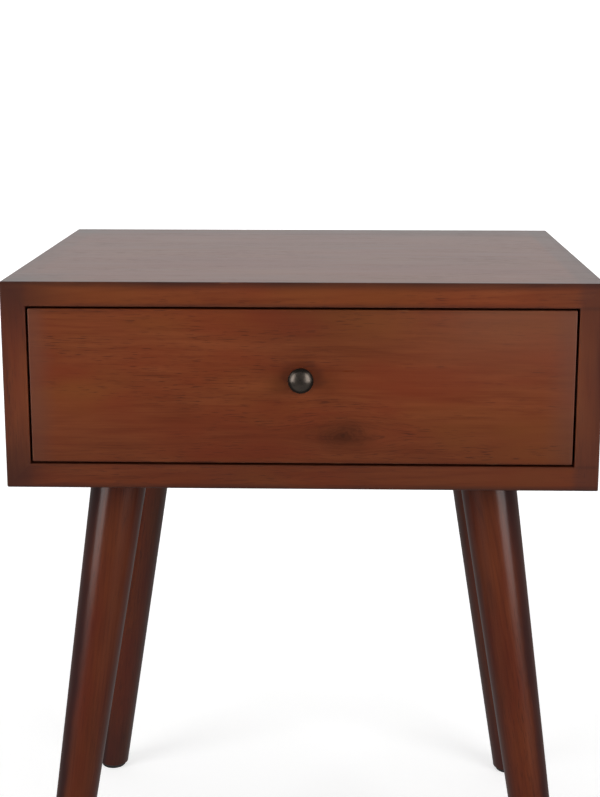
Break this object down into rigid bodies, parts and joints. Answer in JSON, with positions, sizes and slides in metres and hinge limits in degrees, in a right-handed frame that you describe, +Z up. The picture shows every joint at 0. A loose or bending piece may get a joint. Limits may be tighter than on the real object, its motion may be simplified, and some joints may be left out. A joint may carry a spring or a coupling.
{
  "type": "nightstand",
  "caption": "Bedside table: a mitred wooden box case with a full-width inset drawer on ball slides, a domed metal knob and splayed, tapered round legs.",
  "frame": {"origin": "on the floor, in the middle of the footprint of the whole object, knob included", "axes": "+X to the right as seen from the front, +Y to the back, +Z up; the drawer opens towards -Y"},
  "size_m": [0.46, 0.388, 0.56],
  "materials": {
    "case_wood": "satin",
    "drawer_front_wood": "satin",
    "leg_wood": "gloss",
    "drawer_box_wood": "matte",
    "panel_board": "matte",
    "spline_wood": "matte",
    "knob_metal": "satin",
    "plate_steel": "satin",
    "rail_steel": "satin",
    "ball_steel": "polished",
    "screw_steel": "satin",
    "glide_plastic": "matte",
    "bumper_rubber": "matte"
  },
  "bodies": {
    "case": {"top_panel": "case_wood", "bottom_panel": "case_wood", "left_side_panel": "case_wood", "right_side_panel": "case_wood", "mitre_splines": "spline_wood", "back_panel": "panel_board", "back_panel_screws": "screw_steel", "leg_plate_screws": "screw_steel", "hanger_bolts": "screw_steel", "cabinet_rail_screws": "screw_steel", "leg_front_left": "leg_wood", "leg_plate_front_left": "plate_steel", "foot_glide_front_left": "glide_plastic", "leg_front_right": "leg_wood", "leg_plate_front_right": "plate_steel", "foot_glide_front_right": "glide_plastic", "leg_back_left": "leg_wood", "leg_plate_back_left": "plate_steel", "foot_glide_back_left": "glide_plastic", "leg_back_right": "leg_wood", "leg_plate_back_right": "plate_steel", "foot_glide_back_right": "glide_plastic", "left_cabinet_rail": "rail_steel", "left_slide_bumper": "bumper_rubber", "right_cabinet_rail": "rail_steel", "right_slide_bumper": "bumper_rubber"},
    "drawer": {"drawer_front": "drawer_front_wood", "drawer_box_front": "drawer_box_wood", "drawer_box_back": "drawer_box_wood", "drawer_box_left_side": "drawer_box_wood", "drawer_box_right_side": "drawer_box_wood", "drawer_box_bottom": "panel_board", "drawer_front_screws": "screw_steel", "drawer_knob": "knob_metal", "knob_screw": "screw_steel", "drawer_rail_screws": "screw_steel", "left_drawer_rail": "rail_steel", "right_drawer_rail": "rail_steel"},
    "left_middle": {"left_middle_rail": "rail_steel"},
    "left_outer_cage": {"left_outer_ball_cage": "rail_steel", "left_outer_balls": "ball_steel"},
    "left_inner_cage": {"left_inner_ball_cage": "rail_steel", "left_inner_balls": "ball_steel"},
    "right_middle": {"right_middle_rail": "rail_steel"},
    "right_outer_cage": {"right_outer_ball_cage": "rail_steel", "right_outer_balls": "ball_steel"},
    "right_inner_cage": {"right_inner_ball_cage": "rail_steel", "right_inner_balls": "ball_steel"}
  },
  "joints": [
    {"name": "drawer_slide", "type": "slide", "parent": "case", "child": "drawer", "axis": [0, -1, 0], "range_m": [0, 0.3]},
    {"name": "left_middle_slide", "type": "slide", "parent": "case", "child": "left_middle", "axis": [0, -1, 0], "range_m": [0, 0.15]},
    {"name": "left_outer_cage_slide", "type": "slide", "parent": "case", "child": "left_outer_cage", "axis": [0, -1, 0], "range_m": [0, 0.075]},
    {"name": "left_inner_cage_slide", "type": "slide", "parent": "case", "child": "left_inner_cage", "axis": [0, -1, 0], "range_m": [0, 0.225]},
    {"name": "right_middle_slide", "type": "slide", "parent": "case", "child": "right_middle", "axis": [0, -1, 0], "range_m": [0, 0.15]},
    {"name": "right_outer_cage_slide", "type": "slide", "parent": "case", "child": "right_outer_cage", "axis": [0, -1, 0], "range_m": [0, 0.075]},
    {"name": "right_inner_cage_slide", "type": "slide", "parent": "case", "child": "right_inner_cage", "axis": [0, -1, 0], "range_m": [0, 0.225]}
  ],
  "couplings": [
    {"joint": "left_middle_slide", "follows": "drawer_slide", "ratio": 0.5},
    {"joint": "left_outer_cage_slide", "follows": "drawer_slide", "ratio": 0.25},
    {"joint": "left_inner_cage_slide", "follows": "drawer_slide", "ratio": 0.75},
    {"joint": "right_middle_slide", "follows": "drawer_slide", "ratio": 0.5},
    {"joint": "right_outer_cage_slide", "follows": "drawer_slide", "ratio": 0.25},
    {"joint": "right_inner_cage_slide", "follows": "drawer_slide", "ratio": 0.75}
  ]
}
